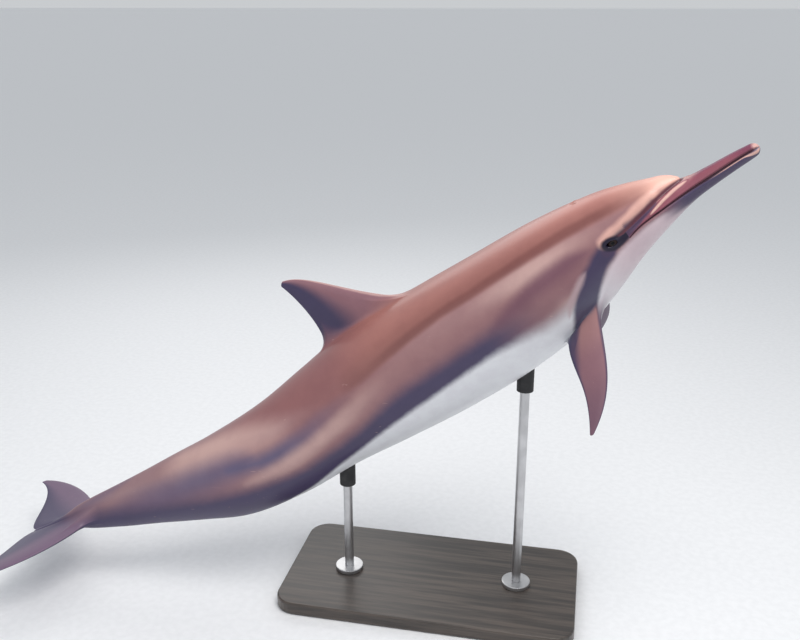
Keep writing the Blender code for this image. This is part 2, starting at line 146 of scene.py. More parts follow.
def body_point(u, v):
    """Right side of the body at row u and column share v, and its angle from the top in degrees.

    The share gives the angle round the section, the row gives the station, slanted back at the side
    of the head, and the lines give the half width and height of the section's superellipse.
    """
    slant = SLANT * slant_at(u)
    mouth = np.radians(curve(u + slant, MOUTH_LINE))
    angle = np.where(v < MOUTH_SHARE, mouth * v / MOUTH_SHARE,
                     mouth + (math.pi - mouth) * (v - MOUTH_SHARE) / (1 - MOUTH_SHARE))
    s = u + slant * np.clip(np.degrees(angle) / SLANT_SIDE, 0, 1) ** SLANT_BEND
    tip = np.sqrt(np.clip(1 - (1 - np.clip(s / BEAK_TIP, 0, 1)) ** 2, 0, 1))
    jaw = curve(s, JAW_LINE)
    melon = 1 - (1 - np.clip((u - MELON) / MELON_RISE, 0, 1)) ** MELON_BULGE
    above = jaw + (curve(s, LINES, 1) - jaw) * melon
    height = np.where(angle < math.pi / 2, above, -curve(s, LINES, 2))
    power = 2 / section_power(s)
    across = curve(s, LINES, 3) * tip * np.abs(np.sin(angle)) ** power
    upright = height * tip * np.abs(np.cos(angle)) ** power + droop(s)
    return np.stack(np.broadcast_arrays(s, -across, upright), axis=-1), np.degrees(angle)


# Rows run from the beak to the notch between the flukes. Columns gather at the mouth line on the head
# and spread out evenly by angle behind it, where `even` is the share that gives an even angle.
tip_rows = BEAK_TIP * (1 - np.cos(np.linspace(0, math.pi / 2, TIP_ROWS + 1)))[1:-1]
rows = np.concatenate([tip_rows, graded(ROW_STEPS, [MELON])])
columns = graded(COLUMN_STEPS, [MOUTH_SHARE])
HALF = len(columns) - 1
RING = 2 * HALF
even = np.interp(np.linspace(0, 180, HALF + 1), [0, 90, 180], [0, MOUTH_SHARE, 1])
spread = ease((rows - HEAD_END) / SPREAD_RUN)[:, None]
shares = columns * (1 - spread) + even * spread

right, right_angle = body_point(rows[:, None], shares)
left = right[:, HALF - 1:0:-1] * (1, -1, 1)
body = np.concatenate([right, left], axis=1)
angle = np.concatenate([right_angle, right_angle[:, HALF - 1:0:-1]], axis=1)
share = np.concatenate([shares, shares[:, HALF - 1:0:-1]], axis=1)
station = body[..., 0].copy()
radius = np.hypot(body[..., 1], body[..., 2])
body[:, [0, HALF], 1] = 0


def outwards(grid):
    """Unit normals of the ringed grid: the way round crossed with the way back."""
    round_it = np.roll(grid, -1, axis=1) - np.roll(grid, 1, axis=1)
    normal = np.cross(round_it, np.gradient(grid, axis=0))
    return normal / np.maximum(np.linalg.norm(normal, axis=-1, keepdims=True), 1e-12)


# ---- detail cut into the head, as heights above the smooth body in metres
GAPE = 0.277                                    # station where the mouth ends
EYE_STATION, EYE_SIZE, EYE_PROUD = 0.312, (0.0135, 0.0110, 0.0098), 0.0016
LID_SIZE = (0.0125, 0.0052)                     # half length and half height of the lids' opening
LID_SLOPE, LID_CORNER = 0.16, 0.12              # how it tilts, and how pointed its corners are
LID_RIM, LID_DEPTH, LID_FOLD = 0.0007, 0.0075, 0.0012   # rim's height, depth inside, depth of the fold
LID_FOLD_DROP = 0.019                           # how far below the eye the fold lies
BLOWHOLE_STATION, BLOWHOLE_RADIUS, BLOWHOLE_HALF_ARC = 0.350, 0.016, 58.0
BLOWHOLE_RIM, BLOWHOLE_SLIT = (0.0011, 0.0080), (-0.0052, 0.0019)       # height and width
# The mouth's groove and its two lips: how far below the mouth line, height and width.
MOUTH_RELIEF = ((0.0, -0.0024, 0.0014), (0.0042, 0.0010, 0.0024), (-0.0042, 0.0007, 0.0026))

# Distance from the mouth line round the section, where a whole share is about 160 degrees.
mouth_away = (share - MOUTH_SHARE) * np.radians(160) * np.maximum(radius, 0.010)
in_mouth = ease((GAPE - station) / 0.012) * ease(station / 0.004)
relief = sum(in_mouth * height * bump(mouth_away - below, width) for below, height, width in MOUTH_RELIEF)


def line_distance(path, station, angle, radius, taper=0.0):
    """Distance over the skin from a line drawn through (station, angle) points, in metres.

    The taper is added towards both ends of the line, so that what is painted along it thins out.
    """
    nearest = np.full(station.shape, 9.0)
    for number, ((s, a), (s_next, a_next)) in enumerate(zip(path, path[1:])):
        along, round_it = station - s, np.radians(angle - a) * radius
        run, over = s_next - s, np.radians(a_next - a) * radius
        t = np.clip((along * run + round_it * over) / (run * run + over * over), 0, 1)
        from_middle = 2 * (number + t) / (len(path) - 1) - 1
        away = np.hypot(along - run * t, round_it - over * t) + taper * from_middle ** 4
        nearest = np.minimum(nearest, away)
    return nearest


# The crease under the melon runs down to the eye, between the brow's ridge and a sunken strip, and the
# upper lip swells in front of it. A line is (station, angle from the top), the same on both sides.
BROW = ((.200, 49), (.225, 60), (.255, 70), (.285, 77), (.312, 80), (.329, 84))
CREASE = [(MELON + SLANT * (a / SLANT_SIDE) ** SLANT_BEND, a) for a in range(0, 90, 5)] + [(.297, 87)]
SUNKEN = ((.205, 66), (.230, 77), (.255, 85), (.280, 90))
UPPER_LIP = ((.140, 38), (.160, 50), (.180, 62), (.200, 72), (.220, 82))
FACE_RELIEF = ((CREASE, -0.0026, 0.0032), (BROW, 0.0034, 0.0095), (SUNKEN, -0.0016, 0.0060),
               (UPPER_LIP, 0.0014, 0.0038))     # line, height and width
for path, height, width in FACE_RELIEF:
    relief += height * bump(line_distance(path, station, angle, radius), width)
# Eyelids: a rounded rim round an almond opening, which sinks in under the eye's face. The almond is
# about 1 at the opening's edge and grows outwards.
eye_along = station - EYE_STATION
eye_up = body[..., 2] - LID_SLOPE * eye_along
almond = (np.sqrt((eye_along / LID_SIZE[0]) ** 2 + (eye_up / LID_SIZE[1]) ** 2)
          + LID_CORNER * (eye_along / LID_SIZE[0]) ** 2)
relief += LID_RIM * bump(almond - 1.40, 0.34) - LID_DEPTH * (1 - ease((almond - 0.78) / 0.34))
relief -= LID_FOLD * bump(np.hypot(eye_along / 2.0, eye_up + LID_FOLD_DROP), 0.0060)
# Blowhole: a crescent slit, open to the front, in a low raised rim.
hole_along = station - (BLOWHOLE_STATION - 0.7 * BLOWHOLE_RADIUS)
turn_from_back = np.degrees(np.abs(np.arctan2(body[..., 1], hole_along)))
hole_away = np.abs(np.hypot(hole_along, body[..., 1]) - BLOWHOLE_RADIUS)
in_hole = ease((BLOWHOLE_HALF_ARC + 8 - turn_from_back) / 16) * (angle < 60)
relief += in_hole * sum(height * bump(hole_away, width) for height, width in (BLOWHOLE_RIM, BLOWHOLE_SLIT))
body = body + outwards(body) * relief[..., None]

# ================================================================ skin: the fins
# Fins are thin foils drawn from a leading and a trailing edge. Each grows out of an opening in the
# body's grid, so its root flows into the body, and it closes in a rounded tip.
# Edges are (out from the root, back from it); a thickness is (half at the root, half at the tip).
DORSAL = dict(lead=((.125, .760), (.196, .866), (.307, .927), (.324, .999)),
              trail=((.125, 1.016), (.190, .985), (.270, .998), (.314, 1.012)),
              thickness=(.0150, .0022), root=(0, 0, 0), out=(0, 0, 1), back=(1, 0, 0))
FLUKE = dict(lead=((.0, 1.758), (.105, 1.792), (.216, 1.900), (.237, 1.995)),
             trail=((.0, LENGTH), (.046, 1.974), (.148, 1.920), (.232, 2.010)),
             thickness=(.0115, .0010), root=(0, .00015, FLUKE_RISE), out=(0, 1, 0), back=(1, 0, 0), curl=.026)
FLIPPER = dict(lead=((-.030, -.048), (.060, .022), (.155, .004), (.217, .132)),
               trail=((-.030, .045), (.080, .128), (.108, .070), (.214, .143)),
               thickness=(.0095, .0012), root=(.440, .0640, -.0960), out=(-.10, .62, -.78), back=(1, 0, -.15))
FLIPPER_SWEEP = {-1: 0.0, 1: 5.0}       # degrees further back, right and left
FLIPPER_SPREAD = {-1: 0.0, 1: 12.0}     # degrees further out to the side
THIN_EDGE = 0.0008                      # half thickness of a trailing edge
TIP_ROUND = 0.0045                      # how far the rounded tip reaches past the foil's end
# Openings in the body's grid: first and last station, and angle or angles from the top.
DORSAL_OPENING = (0.745, 1.040, 5)      # the last is its columns on each side of the midline
FLIPPER_OPENING = (0.368, 0.532, 137, 168)
FLUKE_OPENING = (1.728, 50)             # from here to the notch, up to this angle from top and bottom
FILLET_RINGS, FIN_RINGS, TIP_RINGS = 9, 34, 4
LEAVES_BY, LANDS_BY = 0.75, 0.85        # share of a fin by which it is out of the body, and its fillet ends


def bezier(points, t):
    """Cubic through four control points, at the values t."""
    a, b, c, d = (np.array(p, dtype=float) for p in points)
    t = np.asarray(t)[..., None]
    return (1 - t) ** 3 * a + 3 * t * (1 - t) ** 2 * b + 3 * t * t * (1 - t) * c + t ** 3 * d


def foil(fin, t, turn, side):
    """Points of a fin, t along it from root to tip and turn round it from the leading edge, and its axes.

    The chord share is (1 - cos turn) / 2. The half thickness is a round-nosed foil's, a sum of the
    chord share's square root and four powers, plus the trailing edge's own.
    """
    front, rear = bezier(fin["lead"], t), bezier(fin["trail"], t)
    share = (1 - np.cos(turn)) / 2
    flat = front + (rear - front) * share[..., None]
    half = fin["thickness"][0] + (fin["thickness"][1] - fin["thickness"][0]) * t
    shape = (0.2969 * np.sqrt(share) - 0.126 * share - 0.3516 * share ** 2
             + 0.2843 * share ** 3 - 0.1036 * share ** 4)
    proud = (10 * half * shape + THIN_EDGE * share) * np.clip(8 * np.sin(turn), -1, 1)
    mirror = Vector((1, side, 1))
    out, back, root = (Vector(fin[key]) * mirror for key in ("out", "back", "root"))
    if fin is FLIPPER:
        turned = Matrix.Rotation(math.radians(side * FLIPPER_SPREAD[side]), 3, "X")
        turned = turned @ Matrix.Rotation(math.radians(FLIPPER_SWEEP[side]), 3, out.cross(back))
        out, back = turned @ out, turned @ back
    out.normalize()
    back = (back - out * back.dot(out)).normalized()
    across = np.array(out.cross(back))
    middle = (front[..., :1] + rear[..., :1]) / 2
    bow = fin.get("curl", 0) * (middle / fin["lead"][-1][0]) ** 2 * np.array((0, 0, 1.0))
    return (np.array(root) + np.array(out) * flat[..., :1] + np.array(back) * flat[..., 1:]
            + across * proud[..., None] + bow), np.array(back), across


def outside(points):
    """Above 0 outside the smooth body behind the head, from the section's superellipse."""
    s, y, z = np.moveaxis(points, -1, 0)
    z = z - droop(s)
    tall = np.where(z > 0, curve(s, LINES, 1), curve(s, LINES, 2))
    power = section_power(s)
    return (np.abs(y) / curve(s, LINES, 3)) ** power + (np.abs(z) / tall) ** power - 1


def row_at(s):
    """Number of the row nearest to station s."""
    return int(np.argmin(np.abs(rows - s)))


def column_at(s, degrees):
    """Number of the right side's column nearest to this angle from the top, on the row at station s."""
    return int(np.argmin(np.abs(right_angle[row_at(s)] - degrees)))


def rim(first, last, low, high, to_notch=False):
    """The opening's edge as vertex numbers: back along low, across, forward along high, across."""
    run = np.arange(first, last + 1)
    over = np.arange(low, high + 1)
    parts = [run * RING + low % RING, last * RING + over[1:-1] % RING,
             run[::-1] * RING + high % RING, first * RING + over[::-1][1:-1] % RING]
    if to_notch:
        parts.pop(1)
    return np.concatenate(parts)


kept = np.ones((len(rows) - 1, RING), dtype=bool)
openings = []
first, last = row_at(DORSAL_OPENING[0]), row_at(DORSAL_OPENING[1])
openings.append(("dorsal", DORSAL, 1, rim(first, last, -DORSAL_OPENING[2], DORSAL_OPENING[2])))
kept[first:last, np.arange(-DORSAL_OPENING[2], DORSAL_OPENING[2]) % RING] = False
first, last = row_at(FLIPPER_OPENING[0]), row_at(FLIPPER_OPENING[1])
low, high = (column_at(FLIPPER["root"][0], a) for a in FLIPPER_OPENING[2:])
openings.append(("flipper", FLIPPER, -1, rim(first, last, low, high)))
openings.append(("flipper", FLIPPER, 1, rim(first, last, RING - high, RING - low)))
kept[first:last, low:high] = False
kept[first:last, RING - high:RING - low] = False
first, last = row_at(FLUKE_OPENING[0]), len(rows) - 1
strip = column_at(FLUKE_OPENING[0], FLUKE_OPENING[1])
openings.append(("fluke", FLUKE, -1, rim(first, last, strip, HALF - strip, to_notch=True)))
openings.append(("fluke", FLUKE, 1, rim(first, last, HALF + strip, RING - strip, to_notch=True)))
kept[first:last, strip:HALF - strip] = False
kept[first:last, HALF + strip:RING - strip] = False


def grow(fin, side, edge):
    """Rings of a fin from its opening's edge: a fillet, the foil and the tip, and their (t, turn).

    Each point of the edge has its own line along the foil, at the turn that its direction from the
    opening's middle gives. The fillet is a quadratic from the edge to the foil, drawn towards the
    point where that line leaves the body, and as long on the foil as it is on the body.
    """
    zero = np.zeros(1)
    _, back, across = foil(fin, zero, zero, side)
    root = np.array(fin["root"]) * (1, side, 1)
    along, over = (edge - root) @ back, (edge - root) @ across
    middle, reach = (along.max() + along.min()) / 2, (along.max() - along.min()) / 2
    turn = (math.pi - np.arctan2(over / np.abs(over).max(), (along - middle) / reach))[:, None]
    fine = np.linspace(0, LEAVES_BY, 300)[None, :]
    line = foil(fin, fine + 0 * turn, turn + 0 * fine, side)[0]
    step = np.argmax(outside(line) > 0, axis=1)[:, None]
    leaves = fine[0, step]
    corner = np.take_along_axis(line, step[..., None], axis=1)
    away = np.linalg.norm(corner - edge[:, None], axis=-1)
    speed = np.linalg.norm(np.diff(line, axis=1), axis=-1).mean(axis=1, keepdims=True) / fine[0, 1]
    start = np.minimum(leaves + away / speed, LANDS_BY)
    landing = foil(fin, start, turn, side)[0]
    w = np.linspace(0, 1, FILLET_RINGS + 1)[1:, None, None]
    fillet = (1 - w) ** 2 * edge + 2 * w * (1 - w) * corner[:, 0] + w * w * landing[:, 0]
    t = start + (1 - start) * np.linspace(0, 1, FIN_RINGS + 1)[1:]
    blade = foil(fin, t, turn + 0 * t, side)[0].transpose(1, 0, 2)
    centre = blade[-1].mean(axis=0)
    ahead = centre - blade[-3].mean(axis=0)
    round_off = np.linspace(0, math.pi / 2, TIP_RINGS + 2)[1:, None, None]
    tip = (centre + (blade[-1] - centre) * np.cos(round_off)
           + ahead / np.linalg.norm(ahead) * TIP_ROUND * np.sin(round_off))
    t_all = np.concatenate([np.broadcast_to(leaves.T, (FILLET_RINGS, len(edge))), t.T,
                            np.ones((TIP_RINGS, len(edge)))])
    return np.concatenate([fillet, blade, tip[:-1]]), tip[-1].mean(axis=0), t_all, turn[:, 0]


# The body's own faces, but for those in the openings. The beak's tip closes in one point.
points = [body.reshape(-1, 3)]
corner = np.arange((len(rows) - 1) * RING).reshape(-1, RING)
next_over = np.roll(corner, -1, axis=1)
quads = [np.stack([corner, corner + RING, next_over + RING, next_over], -1)[kept]]
ring = np.arange(RING)
triangles = [np.stack([ring, np.roll(ring, -1), np.full(RING, body.size // 3)], -1)]
points.append(np.zeros((1, 3)))
# The notch: the end of the upper strip zipped to the end of the lower one.
zip_at = np.arange(-strip, strip)
end = (len(rows) - 1) * RING
quads.append(end + np.stack([(zip_at + 1) % RING, zip_at % RING, HALF - zip_at, HALF - zip_at - 1], -1))

# Each point's own place on the body, for the paint: fins take theirs from the opening's edge.
source = [np.arange(len(points[0])), np.zeros(1, dtype=int)]
fin_share = {name: [np.zeros(len(points[0]) + 1)] for name in ("dorsal", "flipper", "fluke")}
fin_span, fin_chord, fin_under = ([np.zeros(len(points[0]) + 1)] for _ in range(3))
total = len(points[0]) + 1
for name, fin, side, loop in openings:
    rings, pole, t, turn = grow(fin, side, points[0][loop])
    count = len(loop)
    numbers = np.concatenate([loop[None], total + np.arange(rings.size // 3).reshape(-1, count)])
    beside = np.roll(numbers, -1, axis=1)
    quads.append(np.stack([numbers[:-1], beside[:-1], beside[1:], numbers[1:]], -1).reshape(-1, 4))
    triangles.append(np.stack([numbers[-1], beside[-1], np.full(count, total + rings.size // 3)], -1))
    points += [rings.reshape(-1, 3), pole[None]]
    source += [np.tile(loop, len(rings)), loop[:1]]
    fade = ease(np.linspace(0, 1, FILLET_RINGS + 1)[1:])
    weight = np.concatenate([fade, np.ones(len(rings) - FILLET_RINGS)])[:, None] + np.zeros(count)
    for other in fin_share:
        own = weight.ravel() if other == name else np.zeros(weight.size)
        fin_share[other].append(np.append(own, float(other == name)))
    fin_span.append(np.append(t.ravel(), 1.0))
    fin_chord.append(np.append(np.tile((1 - np.cos(turn)) / 2, len(rings)), 0.5))
    fin_under.append(np.append(np.tile(np.clip(0.5 + 3 * side * np.sin(turn), 0, 1), len(rings)), 0.5))
    total += rings.size // 3 + 1
points, source = np.concatenate(points), np.concatenate(source)
quads, triangles = np.concatenate(quads), np.concatenate(triangles)

# ================================================================ skin: its stance
# The straight body is bent along its spine, pitched nose up and set on the stand's rods: the front
# rod stands right under the belly's lowest line at its own station.
REFERENCE = 0.80                                # station whose heading is straight ahead
HEAD_RUN, HEAD_TURN, HEAD_DIP = 0.6, 14.6, 0.5  # over what length the head bends, and how far, in degrees
LOIN_RUN, TAIL_TURN, LOIN_DROP = 0.6, 12.1, 9.3
TAIL_FROM, TAIL_RUN, TAIL_DROP, TAIL_ROLL = 1.3, 0.5, 16.2, 4.75
FLUKE_FROM, FLUKE_RUN, FLUKE_TURN, FLUKE_LIFT = 1.66, 0.14, 5.3, 3.6
PITCH = 38.6
ROD_STATION, COLLAR_LENGTH = 0.66, 0.045


def spine(s):
    """Place and axes (left, up) of the spine at stations s: headings added up along its length."""
    run = np.linspace(-0.02, LENGTH + 0.12, 1000)
    ahead = np.clip((REFERENCE - run) / HEAD_RUN, 0, 1) ** 1.5
    loin = ease((run - REFERENCE) / LOIN_RUN)
    tail = ease((run - TAIL_FROM) / TAIL_RUN)
    fluke = ease((run - FLUKE_FROM) / FLUKE_RUN)
    rise = np.radians(-HEAD_DIP * ahead - LOIN_DROP * loin - TAIL_DROP * tail + FLUKE_LIFT * fluke)
    turn = np.radians(-HEAD_TURN * ahead + TAIL_TURN * loin - FLUKE_TURN * fluke)
    roll = np.radians(TAIL_ROLL) * tail
    forward = np.stack([np.cos(rise) * np.cos(turn), np.cos(rise) * np.sin(turn), np.sin(rise)], -1)
    left = np.stack([-np.sin(turn), np.cos(turn), 0 * turn], -1)
    up = np.cross(forward, left)
    left, up = (left * np.cos(roll)[:, None] + up * np.sin(roll)[:, None],
                up * np.cos(roll)[:, None] - left * np.sin(roll)[:, None])
    step = (forward[1:] + forward[:-1]) / 2 * np.diff(run)[:, None]
    place = -np.concatenate([np.zeros((1, 3)), np.cumsum(step, axis=0)])
    place -= [np.interp(REFERENCE, run, place[:, k]) for k in range(3)]
    nose_up = np.array(Matrix.Rotation(-math.radians(PITCH), 3, "Y"))
    axes = [table @ nose_up.T for table in (place, left, up)]
    return [np.stack([np.interp(s, run, table[:, k]) for k in range(3)], -1) for table in axes]


rod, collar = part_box("stand_rod_front"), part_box("stand_collar_front")
belly = np.array(((rod[0] + rod[1]) / 2).xy[:] + (collar[0].z + COLLAR_LENGTH,))
place, _, up = spine(np.array([ROD_STATION]))
BODY_AT = belly - place[0] + up[0] * curve(np.array([ROD_STATION]), LINES, 2)[0]


def bend(straight):
    """Straight frame to the stance: along the spine's left and up at each point's station."""
    place, left, up = spine(straight[:, 0])
    return place + left * straight[:, 1:2] + up * straight[:, 2:3] + BODY_AT


def mesh_object(name, points, quads, triangles):
    """A smooth mesh of quads and triangles, without the points that none of them uses."""
    used = np.zeros(len(points), dtype=bool)
    used[quads.ravel()] = True
    used[triangles.ravel()] = True
    number = np.cumsum(used) - 1
    mesh = bpy.data.meshes.new(name)
    mesh.vertices.add(int(used.sum()))
    mesh.vertices.foreach_set("co", points[used].ravel())
    corners = np.concatenate([number[quads].ravel(), number[triangles].ravel()])
    mesh.loops.add(len(corners))
    mesh.loops.foreach_set("vertex_index", corners)
    mesh.polygons.add(len(quads) + len(triangles))
    mesh.polygons.foreach_set("loop_start", np.concatenate(
        [np.arange(0, quads.size, 4), quads.size + np.arange(0, triangles.size, 3)]))
    mesh.update(calc_edges=True)
    mesh.shade_smooth()
    made = bpy.data.objects.new(name, mesh)
    bpy.context.collection.objects.link(made)
    return made, used


skin, used = mesh_object("dolphin_skin", bend(points), quads, triangles)
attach(skin, "root")
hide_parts("upper_jaw", "lower_jaw", "head", "chest", "trunk", "tail_stock_front", "tail_stock_rear",
            "dorsal_fin", "fluke_right", "fluke_left", "flipper_right", "flipper_left")

# ================================================================ skin: where the paint goes
# The pattern, with its painted shade and painted highlights, is laid out on the skin as distances in metres
# from drawn lines and edges, which the paint below reads. Both are (station, angle from the top), the same on
# both sides.

# Edges: the dark band is below the first, the belly below the second and the cape above the third.
BAND_EDGE = np.array([(0, 104), (.20, 97), (.28, 100), (.36, 101), (.46, 101), (.55, 100), (.62, 98),
                      (.70, 98), (.80, 98), (.90, 99), (1.0, 107), (1.1, 116), (1.2, 120), (1.3, 117),
                      (1.4, 112), (1.5, 109), (1.6, 106), (1.7, 100), (1.80, 94)], dtype=float)
BELLY_EDGE = np.array([(0, 128), (.10, 124), (.15, 112), (.20, 98), (.28, 101), (.36, 109), (.46, 113),
                       (.55, 111), (.62, 108), (.70, 108), (.80, 110), (.90, 113), (1.0, 120), (1.1, 132),
                       (1.2, 146), (1.3, 162), (1.38, 190)], dtype=float)
CAPE_EDGE = np.array([(0, 44), (.235, 50), (.30, 54), (.40, 55), (.60, 57), (.70, 58), (.78, 61),
                      (.86, 65), (.95, 69), (1.05, 69), (1.15, 58), (1.25, 38), (1.34, 20), (1.45, 12),
                      (1.60, 8), (1.9, 6)], dtype=float)
# Lines, and oval patches of (station, angle, half length, half height).
CAPE_SHADE_LINE = ((.235, 45), (.30, 49), (.40, 50), (.50, 52), (.60, 54), (.70, 55), (.78, 58), (.86, 62),
               (.95, 68))
SADDLE = ((.84, 50), (.95, 58), (1.05, 68), (1.16, 80))
UNDER_STREAK = ((.84, 62), (.94, 69), (1.03, 76), (1.12, 84), (1.20, 88), (1.28, 88), (1.36, 80))
STREAK = ((.74, 68), (.85, 75), (.95, 82), (1.05, 90), (1.14, 97), (1.24, 101), (1.34, 102))
TAIL_LIGHT = ((1.19, 62), (1.28, 49), (1.38, 34), (1.46, 24), (1.50, 20))
TAIL_DARK = ((1.27, 78), (1.36, 77), (1.46, 76), (1.56, 84), (1.70, 88))
KEEL_SHADOW_LINE = ((1.63, 5), (1.72, 20), (1.79, 45), (1.83, 65))
FLANK_DARK = ((.350, 84), (.400, 81), (.450, 82), (.500, 84), (.560, 89), (.630, 94))
EYE_STRIPE = ((.330, 96), (.352, 100), (.380, 109), (.410, 119), (.440, 131), (.465, 146))
AXILLA = ((.385, 98), (.405, 102), (.430, 108), (.455, 115), (.478, 126))
WEDGE = ((.205, 60), (.225, 72), (.250, 82), (.280, 88), (.310, 91), (.328, 94))
EYE_WEDGE = ((.272, 88), (.290, 92), (.312, 92), (.324, 88))
PALE_PATCHES = ((.480, 67, .140, .026), (.455, 111, .035, .016), (1.400, 40, .130, .044),
                (1.240, 103, .10, .018))
SLIT = ((1.240, 180), (1.325, 180))     # under the tail
# What is painted along a drawn line: its path, and how much it thins out towards both ends.
PAINTED_LINES = {
    "stripe": (CAPE_SHADE_LINE, 0.0), "saddle": (SADDLE, 0.030), "under_streak": (UNDER_STREAK, 0.012),
    "streak": (STREAK, 0.012), "tail_light": (TAIL_LIGHT, 0.040), "tail_dark": (TAIL_DARK, 0.040),
    "flank_dark": (FLANK_DARK, 0.020), "eye_stripe": (EYE_STRIPE, 0.0), "axilla": (AXILLA, 0.008),
    "wedge": (WEDGE, 0.0), "eye_wedge": (EYE_WEDGE, 0.003), "upper_lip": (UPPER_LIP, 0.003),
    "brow": (BROW, 0.0), "crease": (CREASE, 0.0), "keel_shadow": (KEEL_SHADOW_LINE, 0.008), "slit": (SLIT, 0.0)}

flat_station = np.append(station.ravel(), 0.0)
flat_angle = np.append(angle.ravel(), 90.0)
flat_radius = np.maximum(np.append(radius.ravel(), 0.01), 0.008)


def patch(s, a, long, tall):
    """1 in the middle of an oval patch, falling off like a bell."""
    return np.exp(-((flat_station - s) / long) ** 2 - (np.radians(flat_angle - a) * flat_radius / tall) ** 2)


layout = {name: line_distance(path, flat_station, flat_angle, flat_radius, taper)
          for name, (path, taper) in PAINTED_LINES.items()}
# The eye-to-flipper stripe widens on its way back, and the pale lower lip towards the beak's tip.
layout["eye_stripe"] -= 0.008 * ease((flat_station - 0.350) / 0.080)
lip_half = 0.0007 + 0.0026 * ease((0.034 - flat_station) / 0.030)
layout.update({
    "station": flat_station,
    "angle": flat_angle,
    "cape": np.radians(curve(flat_station, CAPE_EDGE) - flat_angle) * flat_radius,
    "band": np.radians(flat_angle - curve(flat_station, BAND_EDGE)) * flat_radius,
    "belly": np.radians(flat_angle - curve(flat_station, BELLY_EDGE)) * flat_radius,
    "eye": np.append(np.hypot(eye_along / 1.5, eye_up).ravel(), 9.0),
    "mouth": np.append(np.where(station < GAPE, mouth_away, 9.0).ravel(), 0.0),
    "ahead": np.append((MELON - rows[:, None] + 0 * angle).ravel(), MELON),
    "pale": sum(patch(*spot) for spot in PALE_PATCHES),
})
layout["lower_lip"] = 1 - np.abs(layout["mouth"] - 0.0011 - lip_half) / lip_half
layout = {name: values[source] for name, values in layout.items()}
layout["span"], layout["chord"] = np.concatenate(fin_span), np.concatenate(fin_chord)
layout["underside"] = np.concatenate(fin_under)
layout.update({name: np.concatenate(parts) for name, parts in fin_share.items()})
for name, values in layout.items():
    painted = skin.data.attributes.new(name, "FLOAT", "POINT")
    painted.data.foreach_set("value", values[used].astype(np.float32))

# ================================================================ skin: its paint
# Airbrushed acrylic under a clear wet-look lacquer: a rose-brown cape with a darker edge, a lighter rose-grey
# flank, a dark lower band, a white belly, and dark lips, eye patch and eye-to-flipper stripe. Light from
# above
# is painted in too: painted highlights on the melon, the cape's front, the brow and the beak, and painted
# shade along the cape's lower edge, in the lower band, on the lower jaw, under the brow, in the crease,
# beside the tail stock's keel, on the fins' undersides and at the flippers' roots.
MELON_HIGHLIGHT, CAPE_HIGHLIGHT, CAPE = (.86, .50, .41, 1), (.45, .195, .165, 1), (.35, .145, .125, 1)
CAPE_LOIN, CAPE_EDGE_SHADE = (.245, .100, .105, 1), (.17, .055, .05, 1)
FLANK, FLANK_LIGHT, FLANK_SHADE = (.285, .140, .146, 1), (.54, .35, .32, 1), (.165, .068, .100, 1)
STOCK_GREY, STOCK_DARK, BAND_DARK_AND_SHADE = (.28, .19, .21, 1), (.095, .085, .17, 1), (.055, .042, .10, 1)
BELLY, THROAT, AXILLA_PALE = (.74, .75, .78, 1), (.64, .51, .55, 1), (.46, .33, .35, 1)
BEAK, BEAK_DARK, BEAK_HIGHLIGHT = (.25, .070, .100, 1), (.115, .018, .065, 1), (.66, .40, .35, 1)
JAW_DARK_AND_SHADE, LIP_MAROON_AND_CREASE_SHADE, LIP_DARK = (.065, .048, .105, 1), (.11, .028, .045, 1), (.050, .014, .028, 1)
WEDGE_DARK_AND_SHADE, EYE_DARK, EYE_STRIPE_DARK = (.060, .036, .085, 1), (.008, .004, .022, 1), (.036, .030, .085, 1)
FIN, FIN_ROOT, FIN_EDGE = (.25, .120, .145, 1), (.34, .17, .17, 1), (.46, .28, .27, 1)
FIN_DARK = (.045, .034, .09, 1)
FLUKE_ROSE, FLUKE_DARK = (.175, .112, .180, 1), (.075, .058, .120, 1)


class Socket:
    """A node's socket that sums can be written on: each operator adds its own Math node."""

    def __init__(self, tree, link=None):
        self.tree, self.link = tree, link

    def node(self, kind, settings=(), inputs=(), output=0):
        """Add a node: its settings first, then values or links for its inputs, by name or number."""
        made = self.tree.nodes.new("ShaderNode" + kind)
        for key, value in dict(settings).items():
            setattr(made, key, value)
        for key, value in dict(inputs).items():
            if isinstance(value, Socket):
                self.tree.links.new(value.link, made.inputs[key])
            else:
                made.inputs[key].default_value = value
        return Socket(self.tree, made.outputs[output] if made.outputs else None)

    def math(self, operation, *values):
        """One of Blender's Math operations on these values."""
        return self.node("Math", {"operation": operation}, dict(enumerate(values)))

    def __add__(self, other):
        return self.math("ADD", self, other)

    def __sub__(self, other):
        return self.math("SUBTRACT", self, other)

    def __rsub__(self, other):
        return self.math("SUBTRACT", other, self)

    def __mul__(self, other):
        return self.math("MULTIPLY", self, other)

    __radd__, __rmul__ = __add__, __mul__

    def step(self, low, high):
        """0 below low, 1 above high and smooth between; with low above high it falls instead."""
        limits = {0: self, 1: min(low, high), 2: max(low, high),
                  3: float(low > high), 4: float(low <= high)}
        return self.node("MapRange", {"interpolation_type": "SMOOTHSTEP"}, limits)

    def blend(self, under, over):
        """Colour under where this is 0, colour over where it is 1."""
        return self.node("Mix", {"data_type": "RGBA"}, {0: self, 6: under, 7: over}, output=2)

    def noise(self, place, scale, detail=3.0, roughness=0.5):
        """Noise of this many waves to the metre, around 0.5."""
        inputs = {"Vector": place, "Scale": scale, "Detail": detail, "Roughness": roughness}
        return self.node("TexNoise", (), inputs)

    def attribute(self, name):
        """One of the values laid out on the skin."""
        return self.node("Attribute", {"attribute_name": name}, output=2)

    def stretched(self, scale):
        """Object coordinates, drawn out by the scale of each axis."""
        place = self.node("TexCoord", output=3)
        return self.node("Mapping", (), {"Vector": place, "Scale": scale})


